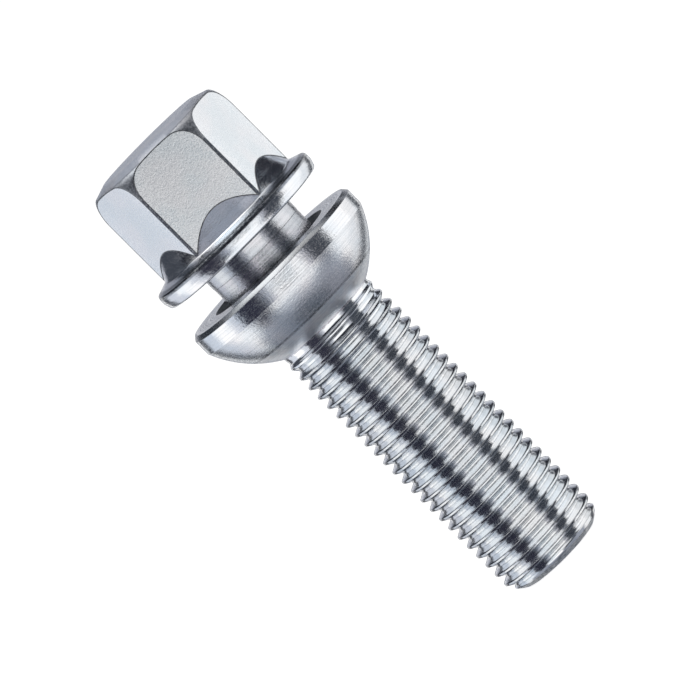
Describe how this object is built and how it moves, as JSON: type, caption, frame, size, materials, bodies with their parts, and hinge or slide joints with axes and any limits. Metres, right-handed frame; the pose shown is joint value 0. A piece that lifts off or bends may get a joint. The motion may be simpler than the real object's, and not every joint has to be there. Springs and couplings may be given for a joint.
{
  "type": "wheel bolt",
  "caption": "Wheel bolt with a flanged hexagon head, a threaded shank, and a loose ball-seat collar that slides on the neck but can't come off over the thread.",
  "frame": {"origin": "centre of the threaded tip's flat end face, on which the bolt stands", "axes": "+Z along the bolt's axis towards the head; a flat of the hexagon faces -Y, and two of its corners lie on +X and -X"},
  "size_m": [0.0242, 0.0242, 0.0659],
  "materials": {
    "bolt_zinc": "bright zinc-plated forged and rolled steel",
    "collar_zinc": "bright zinc-plated turned steel"
  },
  "bodies": {
    "bolt_body": {"bolt": "bolt_zinc"},
    "collar_body": {"ball_collar": "collar_zinc"}
  },
  "joints": [
    {"name": "collar_slide", "type": "slide", "parent": "bolt_body", "child": "collar_body", "axis": [0, 0, 1], "range_m": [0, 0.0038]}
  ]
}
